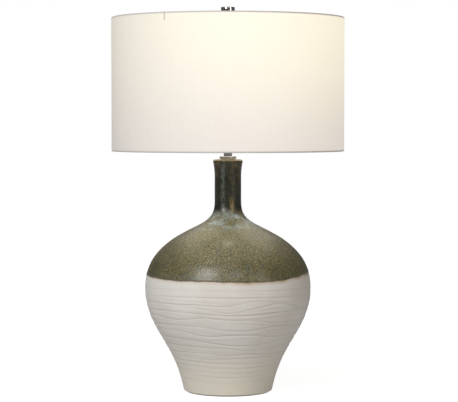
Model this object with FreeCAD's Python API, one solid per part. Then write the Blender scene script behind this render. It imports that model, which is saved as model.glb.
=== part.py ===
import FreeCAD
import Part
import math
import os

# Ginger jar table lamp: a glazed ceramic body on a felt foot, a plated neck, a
# screw lampholder with a turn switch, a harp that carries a drum shade, and a
# finial. Millimetres, +Z up, origin at the centre of the felt's underside. The
# front of the lamp faces -Y and the mains outlet is at the back, +Y.

Vec = FreeCAD.Vector

# ---------------------------------------------------------------- dimensions

# Felt foot
felt_thickness = 2.5
felt_radius = 91.0

# Ceramic body, outside
vase_height = 506.6
foot_radius = 97.3
foot_edge_round = 3.0
belly_radius = 181.6
belly_height = 224.0
neck_radius = 28.9
neck_foot_height = 418.0
neck_waist_height = 450.0
lip_radius = 32.4
lip_round = 4.6
lip_flare_share = (0.42, 0.78)
# Shape of the two long curves, as (share of the way in radius, share in height)
lower_curve = [(0.064, 0.098), (0.2055, 0.2545), (0.439, 0.433), (0.773, 0.656), (0.962, 0.857)]
shoulder_curve = [
    (0.029, 0.181), (0.108, 0.326), (0.244, 0.456), (0.409, 0.560),
    (0.578, 0.637), (0.7335, 0.6995), (0.871, 0.762), (0.9725, 0.855),
]

# Ceramic body, inside
wall = 6.5
foot_ring_width = 12.0
foot_recess_depth = 18.0
recess_corner_round = 2.5
floor_thickness = 7.0
neck_plate_thickness = 7.0
neck_hole_radius = 8.0

# Glaze coat over the shoulder and neck
glaze_height = 249.5
glaze_thickness = 1.0

# Mains outlet in the foot ring, with its snap-in bush
outlet_height = 9.0
outlet_hole_radius = 6.0
outlet_face_radius = 8.4
outlet_face_y = 96.4
bush_bore_radius = 3.75
bush_flange_radius = 8.0
bush_flange_thickness = 2.0
bush_lip_radius = 6.6
bush_lip_length = 1.4

# Hollow threaded rod and the clamp under the floor
rod_radius = 5.0
rod_bore_radius = 3.5
rod_clearance = 0.2
rod_tail = 3.0
nut_corner_bevel = 0.6
base_washer_radius = 22.0
base_washer_thickness = 2.0
lock_washer_radius = 9.0
lock_washer_thickness = 1.2
base_nut_flats = 17.0
base_nut_thickness = 5.0

# Plated fittings on the neck
gasket_radius = 15.0
gasket_thickness = 0.8
cap_radius = 18.3
cap_thickness = 6.0
cap_edge = 0.6
cap_spigot_length = 4.0
cap_spigot_clearance = 0.3
stem_radius = 9.2
stem_length = 22.6

# Harp saddle
strip_thickness = 1.6
strip_width = 13.0
harp_foot_spread = 29.0
post_radius = 3.7
post_height = 11.5
peg_height = 7.0
saddle_nut_flats = 15.0
saddle_nut_thickness = 3.4

# Harp
harp_wire_radius = 2.0
harp_height = 254.0
harp_leg_straight = 36.0
harp_half_width = 57.0
harp_widen_rise = 48.0
harp_side_length = 92.0
harp_shoulder_run = 24.0
harp_shoulder_drop = 5.0
harp_bend_radii = [40.0, 60.0, 60.0, 24.0]
harp_crown_bend_radius = 14.0
harp_joint_gap = 0.3
sleeve_radius = 3.6
sleeve_length = 20.0
sleeve_clearance = 0.12
sleeve_seat_gap = 0.2
stud_boss_radius = 6.2
stud_boss_below_wire = 1.2
stud_boss_above_wire = 1.5
stud_radius = 3.175
stud_length = 17.0

# Lampholder
holder_radius = 17.0
holder_wall = 0.6
holder_height = 60.0
holder_cap_height = 15.0
holder_cap_overlap = 3.0
holder_cap_boss_radius = 8.0
holder_cap_boss_height = 5.0
holder_cap_slope = 4.0
holder_cap_round = 2.0
holder_bead = 0.7
rod_in_holder = 6.0
bushing_height = 3.0
bushing_wall = 1.2
liner_wall = 0.9
liner_clearance = 0.2
liner_below_rim = 1.0
core_radius = 12.4
core_height = 18.0
core_plate_thickness = 3.0
core_stand = 13.0
terminal_head_radius = 3.2
terminal_head_thickness = 1.6
terminal_shank_radius = 1.7
terminal_shank_length = 5.0
terminal_height = 6.0
screw_shell_radius = 14.3
screw_shell_wall = 0.5
screw_shell_hole_gap = 3.0
screw_shell_height = 25.0
contact_radius = 3.2
contact_thickness = 0.8
contact_rise = 1.6
set_screw_radius = 1.7
set_screw_length = 4.0

# Turn switch on the lampholder, pointing to the front
switch_height = 9.0
switch_shaft_radius = 2.0
switch_clearance = 0.08
switch_shaft_depth = 5.0
switch_reach = 17.0
knob_length = 12.0
knob_hub_radius = 4.0
knob_wing_width = 15.0
knob_wing_thickness = 4.4
knob_wing_edge = 2.0
knob_hub_inset = 1.0
knob_hub_past_wing = 2.0
switch_shaft_end_gap = 0.3

# Bulb
bulb_contact_radius = 4.6
bulb_contact_height = 1.6
bulb_contact_bevel = (1.2, 0.8)
bulb_insulator_spread = 0.6
bulb_insulator_inset = 1.0
bulb_insulator_height = 4.4
bulb_thread_radius = 13.1
bulb_thread_depth = 0.9
bulb_thread_pitch = 3.6
bulb_thread_turns = 5
bulb_collar_height = 4.5
bulb_collar_step = 1.2
bulb_cap_wall = 0.4
bulb_seat_gap = 0.3
bulb_glass_radius = 30.0
bulb_glass_height = 84.0
bulb_glass_wall = 0.8
bulb_glass_clearance = 0.15
# Shape of the envelope above the cap, as (share of the way out to the round part, height)
bulb_glass_curve = [(0.0, 4.0), (0.11, 14.0), (0.42, 26.0), (0.80, 38.0)]

# Drum shade
shade_radius = 254.0
shade_height = 291.0
shade_bottom = 526.5
fabric_thickness = 0.5
liner_thickness = 1.0
ring_wire_radius = 1.6
hem_depth = 12.0
wrap_past_angle = 40.0
liner_ring_gap = 0.1
slit_clearance = 0.1

# Spider that hangs the shade on the harp
arm_count = 3
arm_first_angle = 239.0
arm_wire_radius = 1.5
arm_bend_radius = 4.0
arm_hub_overlap = 5.0
hub_radius = 18.0
hub_hole_radius = 5.6
hub_thickness = 1.6
hub_seat_gap = 0.2

# Finial
finial_washer_radius = 9.6
finial_washer_thickness = 0.8
finial_gap = 0.1
finial_base_radius = 9.0
finial_base_height = 3.0
finial_neck_radius = 5.4
finial_neck_height = 23.0
finial_knob_radius = 15.0
finial_knob_height = 16.0
finial_knob_edge = 0.8
finial_bore_clearance = 0.1
finial_bore_spare = 1.5

# ------------------------------------------------------------- stacked levels

foot_z = felt_thickness
vase_top = foot_z + vase_height
belly_z = foot_z + belly_height
glaze_z = foot_z + glaze_height
floor_under = foot_z + foot_recess_depth
floor_top = floor_under + floor_thickness
neck_plate_under = vase_top - neck_plate_thickness
outlet_z = foot_z + outlet_height

cap_z = vase_top + gasket_thickness
stem_z = cap_z + cap_thickness
saddle_z = stem_z + stem_length
saddle_top = saddle_z + strip_thickness
holder_z = saddle_top + saddle_nut_thickness
holder_top = holder_z + holder_height
shell_z = holder_z + holder_cap_height - holder_cap_overlap
core_z = holder_z + core_stand
core_top = core_z + core_height + core_plate_thickness
rod_low = floor_under - base_washer_thickness - lock_washer_thickness - base_nut_thickness - rod_tail
rod_high = holder_z + rod_in_holder

peg_z = saddle_top + post_height
harp_leg_z = peg_z + peg_height + harp_joint_gap
harp_top = saddle_z + harp_height

shade_top = shade_bottom + shade_height
ring_circle = shade_radius - fabric_thickness - ring_wire_radius
top_ring_z = shade_top - fabric_thickness - ring_wire_radius
bottom_ring_z = shade_bottom + fabric_thickness + ring_wire_radius
stud_shoulder_z = harp_top + harp_wire_radius + stud_boss_above_wire
hub_z = stud_shoulder_z + hub_seat_gap
hub_top = hub_z + hub_thickness
arm_z = hub_top + arm_wire_radius
washer_z = hub_top + finial_gap
finial_z = washer_z + finial_washer_thickness

bulb_z = core_top + contact_thickness + contact_rise + bulb_seat_gap
insulator_z = bulb_z + bulb_contact_height
thread_z = insulator_z + bulb_insulator_height
bulb_thread_height = bulb_thread_pitch * bulb_thread_turns
glass_z = thread_z + bulb_thread_height + bulb_collar_height

# ------------------------------------------------------------------- helpers


def at(radius, height):
    """A point of a turned outline: radius along X, height along Z."""
    return Vec(radius, 0, height)


def line(a, b):
    return Part.makeLine(at(*a), at(*b))


def arc(a, middle, b):
    return Part.Arc(at(*a), at(*middle), at(*b)).toShape()


def spline(points):
    curve = Part.BSplineCurve()
    curve.interpolate([at(*p) for p in points])
    return curve.toShape()


def upright(solid):
    """The solid with a positive volume."""
    if solid.Volume < 0:
        solid.reverse()
    return solid


def revolve(edges):
    """The solid that a closed outline makes when it is turned about Z."""
    face = Part.Face(Part.Wire(Part.__sortEdges__(edges)))
    return upright(face.revolve(Vec(0, 0, 0), Vec(0, 0, 1), 360))


def turned(points):
    """A solid turned from straight lines through (radius, height) points."""
    return revolve([line(a, b) for a, b in zip(points, points[1:] + points[:1])])


def disc(radius, low, high):
    return Part.makeCylinder(radius, high - low, Vec(0, 0, low))


def tube(outer, inner, low, high):
    return disc(outer, low, high).cut(disc(inner, low - 1, high + 1))


def rod_along_y(radius, low_y, high_y, height):
    return Part.makeCylinder(radius, high_y - low_y, Vec(0, low_y, height), Vec(0, 1, 0))


def hexagon(flats, low, high):
    """A hexagonal prism, with the corners of both ends chamfered as a nut's are."""
    corner = flats / math.sqrt(3)
    corners = [
        Vec(corner * math.cos(math.radians(60 * i)), corner * math.sin(math.radians(60 * i)), low)
        for i in range(7)
    ]
    prism = Part.Face(Part.makePolygon(corners)).extrude(Vec(0, 0, high - low))
    bevel = (corner - flats / 2) * nut_corner_bevel
    return prism.common(turned([
        (0, low), (flats / 2, low), (corner, low + bevel),
        (corner, high - bevel), (flats / 2, high), (0, high),
    ]))


def drilled_nut(flats, low, high):
    """A hexagonal nut on the threaded rod."""
    return hexagon(flats, low, high).cut(disc(rod_radius, low - 1, high + 1))


def bent_path(points, radii):
    """Straight runs through the points, each inner corner rounded to its radius."""
    edges = []
    here = points[0]
    for before, corner, after, radius in zip(points, points[1:], points[2:], radii):
        incoming = (corner - before).normalize()
        outgoing = (after - corner).normalize()
        turn = incoming.getAngle(outgoing)
        setback = radius * math.tan(turn / 2)
        start = corner - incoming * setback
        end = corner + outgoing * setback
        inward = (outgoing - incoming).normalize()
        middle = corner + inward * (radius / math.cos(turn / 2) - radius)
        edges.append(Part.makeLine(here, start))
        edges.append(Part.Arc(start, middle, end).toShape())
        here = end
    edges.append(Part.makeLine(here, points[-1]))
    return Part.Wire(edges)


def wire_along(path, radius):
    """A round wire whose centre follows the path."""
    first = path.Edges[0]
    start = first.valueAt(first.FirstParameter)
    direction = first.tangentAt(first.FirstParameter)
    section = Part.Wire(Part.makeCircle(radius, start, direction))
    return upright(path.makePipeShell([section], True, False))


def turn_z(shape, degrees):
    copy = shape.copy()
    copy.rotate(Vec(0, 0, 0), Vec(0, 0, 1), degrees)
    return copy


def mirror_x(shape):
    return shape.mirror(Vec(0, 0, 0), Vec(1, 0, 0))


# ------------------------------------------------------------- ceramic body


def outline_points():
    """The jar's outside from the top of the foot's rounding to the foot of the lip."""
    foot = (foot_radius, foot_z + foot_edge_round)
    belly = (belly_radius, belly_z)
    neck = (neck_radius, foot_z + neck_foot_height)

    def between(a, b, shares):
        return [(a[0] + r * (b[0] - a[0]), a[1] + h * (b[1] - a[1])) for r, h in shares]

    waist = (neck_radius, foot_z + neck_waist_height)
    lip_start = (lip_radius, vase_top - lip_round)
    flare = between(waist, lip_start, [lip_flare_share])[0]
    return (
        [foot] + between(foot, belly, lower_curve) + [belly]
        + between(belly, neck, shoulder_curve) + [neck, waist, flare, lip_start]
    )


outline = Part.BSplineCurve()
outline.interpolate([at(*p) for p in outline_points()])


def outline_at(u, depth):
    """The point a given depth inside the outline, square to it, at parameter u."""
    point = outline.value(u)
    along = outline.tangent(u)[0]
    return (point.x - depth * along.z, point.z + depth * along.x)


def parameter_at(height, depth):
    """The parameter where the curve at that depth reaches the height."""
    low, high = outline.FirstParameter, outline.LastParameter
    for _ in range(60):
        middle = (low + high) / 2
        if outline_at(middle, depth)[1] < height:
            low = middle
        else:
            high = middle
    return (low + high) / 2


def inner_curve(low_z, high_z, depth, count):
    """A smooth curve at that depth inside the outline, between two heights."""
    first, last = parameter_at(low_z, depth), parameter_at(high_z, depth)
    points = [outline_at(first + (last - first) * i / (count - 1), depth) for i in range(count)]
    return [(points[0][0], low_z)] + points[1:-1] + [(points[-1][0], high_z)]


glaze_split = parameter_at(glaze_z, 0)
lip_middle = lip_round * math.cos(math.radians(45))
lip_inside = lip_round - glaze_thickness
lip_inside_middle = lip_inside * math.cos(math.radians(45))
lip_circle = (lip_radius - lip_round, vase_top - lip_round)
lip_body_start = (lip_radius - glaze_thickness, lip_circle[1])
body_top = vase_top - glaze_thickness


def part_of_outline(first, last):
    return outline.toShape(first, last)


def glaze_seat():
    """The face between the body and the glaze coat, from the glaze line to the neck's hole."""
    curve = inner_curve(glaze_z, lip_circle[1], glaze_thickness, 40)
    curve[-1] = lip_body_start
    return [
        spline(curve),
        arc(lip_body_start,
            (lip_circle[0] + lip_inside_middle, lip_circle[1] + lip_inside_middle),
            (lip_circle[0], body_top)),
        line((lip_circle[0], body_top), (neck_hole_radius, body_top)),
    ], curve[0]


def make_vase():
    seat, seat_start = glaze_seat()
    glaze_edge = outline_at(glaze_split, 0)
    edge_centre = (foot_radius - foot_edge_round, foot_z + foot_edge_round)
    edge_share = foot_edge_round * math.cos(math.radians(45))
    ring_inner = foot_radius - foot_edge_round - foot_ring_width
    hole = rod_radius + rod_clearance
    cavity = inner_curve(floor_top, neck_plate_under, wall, 40)
    corner = (ring_inner - recess_corner_round, floor_under - recess_corner_round)
    corner_share = recess_corner_round * math.cos(math.radians(45))
    edges = [
        line((ring_inner, foot_z), (edge_centre[0], foot_z)),
        arc((edge_centre[0], foot_z),
            (edge_centre[0] + edge_share, edge_centre[1] - edge_share),
            (foot_radius, edge_centre[1])),
        part_of_outline(outline.FirstParameter, glaze_split),
        line(glaze_edge, seat_start),
        *seat,
        line((neck_hole_radius, body_top), (neck_hole_radius, neck_plate_under)),
        line((neck_hole_radius, neck_plate_under), cavity[-1]),
        spline(cavity),
        line(cavity[0], (hole, floor_top)),
        line((hole, floor_top), (hole, floor_under)),
        line((hole, floor_under), (corner[0], floor_under)),
        arc((corner[0], floor_under),
            (corner[0] + corner_share, corner[1] + corner_share),
            (ring_inner, corner[1])),
        line((ring_inner, corner[1]), (ring_inner, foot_z)),
    ]
    body = revolve(edges)
    past_foot = foot_radius + 4 * foot_ring_width
    body = body.cut(rod_along_y(outlet_hole_radius, ring_inner / 2, past_foot, outlet_z))
    return body.cut(rod_along_y(outlet_face_radius, outlet_face_y, past_foot, outlet_z))


def make_glaze():
    seat, seat_start = glaze_seat()
    return revolve([
        part_of_outline(glaze_split, outline.LastParameter),
        arc((lip_radius, lip_circle[1]),
            (lip_circle[0] + lip_middle, lip_circle[1] + lip_middle),
            (lip_circle[0], vase_top)),
        line((lip_circle[0], vase_top), (neck_hole_radius, vase_top)),
        line((neck_hole_radius, vase_top), (neck_hole_radius, body_top)),
        *seat,
        line(seat_start, outline_at(glaze_split, 0)),
    ])


def make_outlet_bush():
    ring_inner = foot_radius - foot_edge_round - foot_ring_width
    lip_start = math.sqrt(ring_inner ** 2 - outlet_hole_radius ** 2) - 2 * bush_lip_length
    flange_end = outlet_face_y + bush_flange_thickness
    shank = rod_along_y(outlet_hole_radius, lip_start, outlet_face_y, outlet_z)
    flange = rod_along_y(bush_flange_radius, outlet_face_y, flange_end, outlet_z)
    lip = rod_along_y(bush_lip_radius, lip_start, lip_start + bush_lip_length, outlet_z)
    bore = rod_along_y(bush_bore_radius, lip_start - 1, flange_end + 1, outlet_z)
    return shank.fuse([flange, lip]).cut(bore).removeSplitter()


# ------------------------------------------------------ rod and base clamp


def make_base_stack():
    washer_low = floor_under - base_washer_thickness
    lock_low = washer_low - lock_washer_thickness
    nut_low = lock_low - base_nut_thickness
    hole = rod_radius + rod_clearance
    return {
        "base_washer": tube(base_washer_radius, hole, washer_low, floor_under),
        "lock_washer": tube(lock_washer_radius, hole, lock_low, washer_low),
        "base_nut": drilled_nut(base_nut_flats, nut_low, lock_low),
        "threaded_rod": tube(rod_radius, rod_bore_radius, rod_low, rod_high),
    }


# ----------------------------------------------------------- neck fittings


def make_neck_fittings():
    hole = rod_radius + rod_clearance
    spigot = neck_hole_radius - cap_spigot_clearance
    cap = turned([
        (hole, cap_z - cap_spigot_length), (spigot, cap_z - cap_spigot_length),
        (spigot, cap_z), (cap_radius - cap_edge, cap_z), (cap_radius, cap_z + cap_edge),
        (cap_radius, stem_z - cap_edge), (cap_radius - cap_edge, stem_z), (hole, stem_z),
    ])
    return {
        "neck_gasket": tube(gasket_radius, neck_hole_radius, vase_top, cap_z),
        "neck_cap": cap,
        "neck_stem": tube(stem_radius, hole, stem_z, saddle_z),
    }


# -------------------------------------------------------- saddle and harp


def make_saddle():
    """A flat strip with round ends, each end carrying a stepped post for a harp leg."""
    half = strip_width / 2
    ends = [
        Part.makeCylinder(half, strip_thickness, Vec(side * harp_foot_spread, 0, saddle_z))
        for side in (-1, 1)
    ]
    plate = Part.makeBox(
        2 * harp_foot_spread, strip_width, strip_thickness, Vec(-harp_foot_spread, -half, saddle_z)
    ).fuse(ends)
    plate = plate.cut(disc(rod_radius + rod_clearance, saddle_z - 1, saddle_top + 1))
    posts = []
    for side in (-1, 1):
        centre = Vec(side * harp_foot_spread, 0, saddle_top)
        post = Part.makeCylinder(post_radius, post_height, centre)
        peg = Part.makeCylinder(harp_wire_radius, peg_height, centre + Vec(0, 0, post_height))
        posts += [post, peg]
    return plate.fuse(posts).removeSplitter()


def harp_half_path():
    """Corners of the right half of the harp, from the leg's foot to the middle of the top."""
    return [
        Vec(harp_foot_spread, 0, harp_leg_z),
        Vec(harp_foot_spread, 0, harp_leg_z + harp_leg_straight),
        Vec(harp_half_width, 0, harp_leg_z + harp_leg_straight + harp_widen_rise),
        Vec(harp_half_width, 0, harp_leg_z + harp_leg_straight + harp_widen_rise + harp_side_length),
        Vec(harp_shoulder_run, 0, harp_top - harp_shoulder_drop),
    ]


def make_harp():
    half = harp_half_path()
    crown = [Vec(harp_shoulder_run / 2, 0, harp_top), Vec(-harp_shoulder_run / 2, 0, harp_top)]
    other = [Vec(-p.x, 0, p.z) for p in reversed(half)]
    radii = harp_bend_radii + 2 * [harp_crown_bend_radius] + harp_bend_radii[::-1]
    return wire_along(bent_path(half + crown + other, radii), harp_wire_radius)


def make_stud(harp):
    boss_low = harp_top - harp_wire_radius - stud_boss_below_wire
    boss = disc(stud_boss_radius, boss_low, stud_shoulder_z)
    stud = disc(stud_radius, stud_shoulder_z - 1, stud_shoulder_z + stud_length)
    return boss.fuse(stud).removeSplitter().cut(harp)


def make_sleeve():
    low = peg_z + sleeve_seat_gap
    hole = harp_wire_radius + sleeve_clearance
    sleeve = tube(sleeve_radius, hole, low, low + sleeve_length)
    sleeve.translate(Vec(harp_foot_spread, 0, 0))
    return sleeve


# ------------------------------------------------------------- lampholder


def make_holder():
    cap_outer = holder_radius + holder_wall
    cap_top = holder_z + holder_cap_height
    boss_top = holder_z + holder_cap_boss_height
    shoulder = boss_top + holder_cap_slope
    skin = holder_wall
    cap = turned([
        (rod_radius, holder_z), (holder_cap_boss_radius, holder_z), (holder_cap_boss_radius, boss_top),
        (cap_outer - holder_cap_round, shoulder), (cap_outer, shoulder + holder_cap_round),
        (cap_outer, cap_top), (holder_radius, cap_top), (holder_radius, shell_z),
        (holder_radius - skin, shell_z), (holder_radius - skin, shoulder + holder_cap_round),
        (cap_outer - holder_cap_round - 2 * skin, shoulder + skin),
        (holder_cap_boss_radius - skin, boss_top + skin), (rod_radius, boss_top + skin),
    ])
    shell = tube(holder_radius, holder_radius - holder_wall, shell_z, holder_top)
    bead = Part.makeTorus(holder_radius, holder_bead, Vec(0, 0, holder_top - holder_bead))
    inside = disc(holder_radius - holder_wall, holder_z, holder_top + 2 * holder_bead)
    shell = shell.fuse(bead.cut(inside)).removeSplitter()

    liner_outer = holder_radius - holder_wall - liner_clearance
    liner_low = cap_top
    liner = tube(liner_outer, liner_outer - liner_wall, liner_low, holder_top - liner_below_rim)

    core = disc(core_radius, core_z, core_z + core_height).fuse(
        disc(liner_outer - liner_wall - liner_clearance, core_z + core_height, core_top)
    ).removeSplitter()
    core = core.cut(disc(rod_bore_radius, core_z - 1, core_z + core_stand / 2))

    screw_shell_hole = contact_radius + screw_shell_hole_gap
    screw_shell = turned([
        (screw_shell_hole, core_top), (screw_shell_radius, core_top),
        (screw_shell_radius, core_top + screw_shell_height),
        (screw_shell_radius - screw_shell_wall, core_top + screw_shell_height),
        (screw_shell_radius - screw_shell_wall, core_top + screw_shell_wall),
        (screw_shell_hole, core_top + screw_shell_wall),
    ])
    contact = disc(contact_radius, core_top, core_top + contact_thickness).fuse(
        disc(contact_radius / 2, core_top, core_top + contact_thickness + contact_rise)
    ).removeSplitter()
    bushing = tube(rod_radius, rod_bore_radius - bushing_wall, rod_high, rod_high + bushing_height)

    terminals = []
    for side in (-1, 1):
        foot = Vec(side * (core_radius - terminal_shank_length), 0, core_z + terminal_height)
        face = Vec(side * core_radius, 0, core_z + terminal_height)
        outward = Vec(side, 0, 0)
        shank = Part.makeCylinder(terminal_shank_radius, terminal_shank_length, foot, outward)
        head = Part.makeCylinder(terminal_head_radius, terminal_head_thickness, face, outward)
        core = core.cut(shank)
        terminals.append(shank.fuse(head).removeSplitter())

    screw_low = Vec(rod_radius, 0, holder_z + holder_cap_boss_height / 2)
    set_screw = Part.makeCylinder(set_screw_radius, set_screw_length, screw_low, Vec(1, 0, 0))
    screw_axis = Vec(0, 0, screw_low.z)
    cap = cap.cut(Part.makeCylinder(set_screw_radius, holder_cap_boss_radius + 1, screw_axis, Vec(1, 0, 0)))
    return {
        "holder_cap": cap, "holder_shell": shell, "holder_liner": liner, "holder_core": core,
        "holder_screw_shell": screw_shell, "holder_contact": contact, "rod_bushing": bushing,
        "terminal_screws": Part.makeCompound(terminals), "cap_set_screw": set_screw,
    }


# ------------------------------------------------------------ turn switch


def make_switch(holder):
    switch_z = core_z + switch_height
    shaft_start = -core_radius + switch_shaft_depth
    knob_start = -(holder_radius + switch_reach - knob_length)
    knob_end = knob_start - knob_length
    shaft = rod_along_y(switch_shaft_radius, knob_start - knob_length / 2, shaft_start, switch_z)
    passage = rod_along_y(switch_shaft_radius + switch_clearance, knob_end,
                          shaft_start + switch_shaft_end_gap, switch_z)
    for name in ("holder_core", "holder_liner", "holder_shell", "holder_cap"):
        holder[name] = holder[name].cut(passage)
    hub = rod_along_y(knob_hub_radius, knob_end + knob_hub_inset, knob_start, switch_z)
    wing = Part.makeBox(
        knob_wing_width, knob_length - knob_hub_past_wing, knob_wing_thickness,
        Vec(-knob_wing_width / 2, knob_end, switch_z - knob_wing_thickness / 2),
    )
    round_edges = [e for e in wing.Edges if abs(e.tangentAt(e.FirstParameter).y) > 0.9]
    wing = wing.makeFillet(knob_wing_edge, round_edges)
    knob = hub.fuse(wing).removeSplitter().cut(shaft)
    return {"switch_shaft": shaft, "switch_knob": knob}


# ------------------------------------------------------------------- bulb


def make_bulb():
    contact = turned([
        (0, bulb_z), (bulb_contact_radius - bulb_contact_bevel[0], bulb_z),
        (bulb_contact_radius, bulb_z + bulb_contact_bevel[1]),
        (bulb_contact_radius, insulator_z), (0, insulator_z),
    ])
    root = bulb_thread_radius - bulb_thread_depth
    insulator_radius = root - bulb_insulator_inset
    insulator = turned([
        (0, insulator_z), (bulb_contact_radius + bulb_insulator_spread, insulator_z),
        (insulator_radius, thread_z - bulb_insulator_spread), (insulator_radius, thread_z), (0, thread_z),
    ])
    # The screw cap: one rounded ridge for each turn of the thread, then a plain collar
    half = bulb_thread_pitch / 2
    edges = []
    for i in range(bulb_thread_turns):
        low = thread_z + i * bulb_thread_pitch
        edges.append(arc((root, low), (bulb_thread_radius, low + half), (root, low + 2 * half)))
    thread_top = thread_z + bulb_thread_height
    collar_z = thread_top + bulb_collar_step
    corners = [
        (root, thread_top), (bulb_thread_radius, collar_z), (bulb_thread_radius, glass_z),
        (bulb_thread_radius - bulb_cap_wall, glass_z),
        (bulb_thread_radius - bulb_cap_wall, collar_z),
        (root - bulb_cap_wall, thread_top), (root - bulb_cap_wall, thread_z), (root, thread_z),
    ]
    cap = revolve(edges + [line(a, b) for a, b in zip(corners, corners[1:])])

    # The envelope: a neck that widens into a round bulb, open at the foot inside the cap
    top = glass_z + bulb_glass_height
    centre_z = top - bulb_glass_radius
    foot_low = collar_z + bulb_glass_clearance
    shank = bulb_thread_radius - bulb_cap_wall - bulb_glass_clearance

    def envelope(inset):
        radius = bulb_glass_radius - inset
        spread = bulb_glass_radius - shank
        side = [(shank + share * spread - inset, glass_z + rise) for share, rise in bulb_glass_curve]
        return [
            line((shank - inset, foot_low), side[0]),
            spline(side + [(radius, centre_z)]),
            arc((radius, centre_z),
                (radius * math.cos(math.radians(45)), centre_z + radius * math.sin(math.radians(45))),
                (0, top - inset)),
        ]

    glass = revolve(
        envelope(0) + envelope(bulb_glass_wall)
        + [line((shank - bulb_glass_wall, foot_low), (shank, foot_low)),
           line((0, top), (0, top - bulb_glass_wall))]
    )
    return {"bulb_contact": contact, "bulb_insulator": insulator, "bulb_cap": cap, "bulb_glass": glass}


# ------------------------------------------------------------------ shade


def make_rings():
    return {
        "shade_top_ring": Part.makeTorus(ring_circle, ring_wire_radius, Vec(0, 0, top_ring_z)),
        "shade_bottom_ring": Part.makeTorus(ring_circle, ring_wire_radius, Vec(0, 0, bottom_ring_z)),
    }


def make_fabric():
    """The cloth: a drum skin whose edges turn over the rings and lie down inside the liner."""
    outer = shade_radius
    skin = outer - fabric_thickness
    wrap = ring_wire_radius + fabric_thickness
    flap_outer = skin - liner_thickness
    flap_inner = flap_outer - fabric_thickness

    past = math.radians(wrap_past_angle)

    def half_wrap(ring_z, side):
        """Outline edges of the cloth over one ring: side is +1 at the top and -1 at the bottom."""

        def around(radius):
            """The arc over the ring at that radius, and where its tangent leaves on the inside."""
            leave = (ring_circle - radius * math.cos(past), ring_z - side * radius * math.sin(past))
            return arc((ring_circle + radius, ring_z), (ring_circle, ring_z + side * radius), leave), leave

        def reach(leave, x):
            """Where the tangent from that point comes to the radius x."""
            return (x, leave[1] - side * (x - leave[0]) / math.tan(past))

        over, over_end = around(wrap)
        under, under_end = around(ring_wire_radius)
        flap_end = ring_z - side * hem_depth
        face_start = reach(over_end, flap_inner)
        back_start = reach(under_end, flap_outer)
        return [
            over, line(over_end, face_start), line(face_start, (flap_inner, flap_end)),
            line((flap_inner, flap_end), (flap_outer, flap_end)),
            line((flap_outer, flap_end), back_start), line(back_start, under_end), under,
        ]

    return revolve(
        half_wrap(top_ring_z, 1) + half_wrap(bottom_ring_z, -1)
        + [line((x, bottom_ring_z), (x, top_ring_z)) for x in (outer, skin)]
    )


def make_spider(ring):
    leg_radius = ring_circle - ring_wire_radius
    arm_end = hub_radius - arm_hub_overlap
    path = bent_path(
        [at(leg_radius, top_ring_z), at(leg_radius, arm_z), at(arm_end, arm_z)], [arm_bend_radius]
    )
    arm = wire_along(path, arm_wire_radius).cut(ring)
    arms = [turn_z(arm, arm_first_angle + i * 360.0 / arm_count) for i in range(arm_count)]
    hub = tube(hub_radius, hub_hole_radius, hub_z, hub_top)
    return arms, hub


def make_shade():
    parts = make_rings()
    arms, hub = make_spider(parts["shade_top_ring"])
    skin = shade_radius - fabric_thickness
    butt = ring_wire_radius + liner_ring_gap
    liner = tube(skin, skin - liner_thickness, bottom_ring_z + butt, top_ring_z - butt)
    # The cloth's turned-in edge is slit where each arm comes down from the top ring
    slit_width = 2 * (arm_wire_radius + slit_clearance)
    slit = Part.makeBox(
        4 * ring_wire_radius + 4 * fabric_thickness, slit_width, hem_depth + 1,
        Vec(ring_circle - 3 * ring_wire_radius, -slit_width / 2, top_ring_z - hem_depth - 0.5),
    )
    slits = [turn_z(slit, arm_first_angle + i * 360.0 / arm_count) for i in range(arm_count)]
    skin_guard = disc(skin - liner_thickness, shade_bottom, shade_top)
    parts["shade_fabric"] = make_fabric().cut([cut.common(skin_guard) for cut in slits])
    parts["shade_liner"] = liner
    parts["spider_arms"] = Part.makeCompound(arms)
    parts["spider_hub"] = hub
    return parts


# ----------------------------------------------------------------- finial


def make_finial():
    knob_z = finial_z + finial_base_height + finial_neck_height
    knob_top = knob_z + finial_knob_height
    bore = stud_radius + finial_bore_clearance
    bore_top = stud_shoulder_z + stud_length + finial_bore_spare
    edge = finial_knob_edge
    finial = turned([
        (0, bore_top), (bore, bore_top), (bore, finial_z), (finial_base_radius, finial_z),
        (finial_base_radius, finial_z + finial_base_height - edge),
        (finial_base_radius - edge, finial_z + finial_base_height),
        (finial_neck_radius, finial_z + finial_base_height + edge),
        (finial_neck_radius, knob_z - edge), (finial_knob_radius - edge, knob_z),
        (finial_knob_radius, knob_z + edge), (finial_knob_radius, knob_top - edge),
        (finial_knob_radius - edge, knob_top), (0, knob_top),
    ])
    washer = tube(finial_washer_radius, bore, washer_z, finial_z)
    return {"finial": finial, "finial_washer": washer}


# ------------------------------------------------------------------- export


def build():
    nodes = {
        "felt_foot": disc(felt_radius, 0, felt_thickness),
        "ceramic_body": make_vase(),
        "glaze_coat": make_glaze(),
        "outlet_bush": make_outlet_bush(),
        "harp_saddle": make_saddle(),
        "saddle_nut": drilled_nut(saddle_nut_flats, saddle_top, holder_z),
        "harp": make_harp(),
    }
    nodes.update(make_base_stack())
    nodes.update(make_neck_fittings())
    nodes["harp_stud"] = make_stud(nodes["harp"])
    sleeve = make_sleeve()
    nodes["harp_sleeve_right"] = sleeve
    nodes["harp_sleeve_left"] = upright(mirror_x(sleeve))
    holder = make_holder()
    nodes.update(make_switch(holder))
    nodes.update(holder)
    nodes.update(make_bulb())
    nodes.update(make_shade())
    nodes.update(make_finial())
    return nodes


os.makedirs("parts", exist_ok=True)
for name, shape in build().items():
    shape.exportStep("parts/" + name + ".step")
    box = shape.BoundBox
    print("%-20s solids %d valid %s volume %.1f z %.2f to %.2f" % (
        name, len(shape.Solids), shape.isValid(), shape.Volume, box.ZMin, box.ZMax))
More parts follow.
